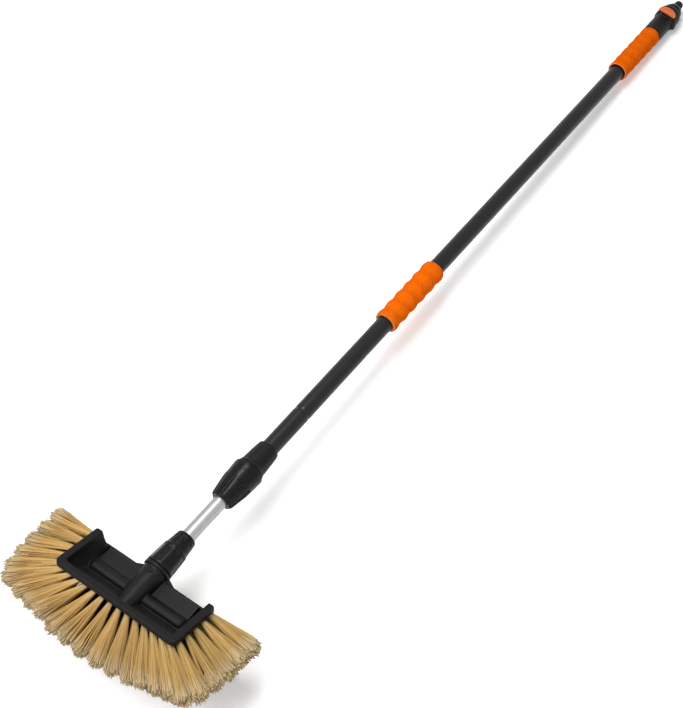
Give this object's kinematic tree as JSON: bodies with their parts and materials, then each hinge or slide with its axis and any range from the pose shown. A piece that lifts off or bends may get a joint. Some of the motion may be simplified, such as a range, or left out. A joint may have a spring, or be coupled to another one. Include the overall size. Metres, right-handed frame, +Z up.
{
  "type": "car wash brush",
  "caption": "Flow-through wash brush: moulded head with fanned bristle tufts on a telescopic tube handle with twist lock, foam grips and a shut-off valve with hose nipple.",
  "frame": {"origin": "on the floor, under the middle of the brush's overall box, with the brush lying on its lower bristles and on the valve housing", "axes": "+Y from the brush head along the handle towards the hose end, +Z up, +X to the side that carries the valve's boss; the handle's axis falls about 3 degrees towards +Y"},
  "size_m": [0.3996, 1.701, 0.1437],
  "materials": {
    "black_plastic": "satin",
    "block_plastic": "matte",
    "fibre": "matte",
    "bare_aluminium": "satin",
    "charcoal_aluminium": "satin",
    "orange_foam": "matte",
    "orange_plastic": "satin",
    "seal_rubber": "matte",
    "screw_steel": "satin"
  },
  "bodies": {
    "head": {"head_housing": "black_plastic", "bristle_block": "block_plastic", "front_bristles": "fibre", "left_bristles": "fibre", "right_bristles": "fibre", "bottom_bristles": "fibre", "block_gasket": "seal_rubber", "block_screw_1": "screw_steel", "block_screw_2": "screw_steel", "block_screw_3": "screw_steel", "block_screw_4": "screw_steel", "neck_seal": "seal_rubber", "tube_collet": "black_plastic"},
    "collar_nut": {"collar_nut": "black_plastic"},
    "tube": {"inner_tube": "bare_aluminium", "tube_piston": "black_plastic", "piston_seal_front": "seal_rubber", "piston_seal_rear": "seal_rubber"},
    "handle": {"outer_tube": "charcoal_aluminium", "lock_sleeve": "black_plastic", "lock_collet": "black_plastic", "middle_grip": "orange_foam", "end_grip": "orange_foam", "valve_body": "black_plastic", "valve_seat_front": "seal_rubber", "valve_seat_rear": "seal_rubber", "spigot_seal": "seal_rubber", "hose_nipple": "black_plastic", "nipple_seal": "seal_rubber"},
    "lock_nut": {"lock_nut": "black_plastic"},
    "knob": {"valve_knob": "orange_plastic", "valve_plug": "black_plastic", "plug_seal": "seal_rubber"}
  },
  "joints": [
    {"name": "collar_nut_turn", "type": "hinge", "parent": "head", "child": "collar_nut", "pos_m": [0, -0.67261, 0.10291], "axis": [0, 0.9985, -0.0543], "range_deg": [0, 120]},
    {"name": "tube_turn", "type": "hinge", "parent": "head", "child": "tube", "pos_m": [0, -0.69258, 0.104], "axis": [0, 0.9985, -0.0543], "range_deg": [-180, 180]},
    {"name": "telescope", "type": "slide", "parent": "tube", "child": "handle", "axis": [0, 0.9985, -0.0543], "range_m": [-0.062, 0.96]},
    {"name": "lock_nut_turn", "type": "hinge", "parent": "handle", "child": "lock_nut", "pos_m": [0, -0.52682, 0.09499], "axis": [0, 0.9985, -0.0543], "range_deg": [0, 120]},
    {"name": "knob_turn", "type": "hinge", "parent": "handle", "child": "knob", "pos_m": [0.00569, 0.78839, 0.04477], "axis": [0.2588, 0.0524, 0.9645], "range_deg": [0, 90]}
  ]
}
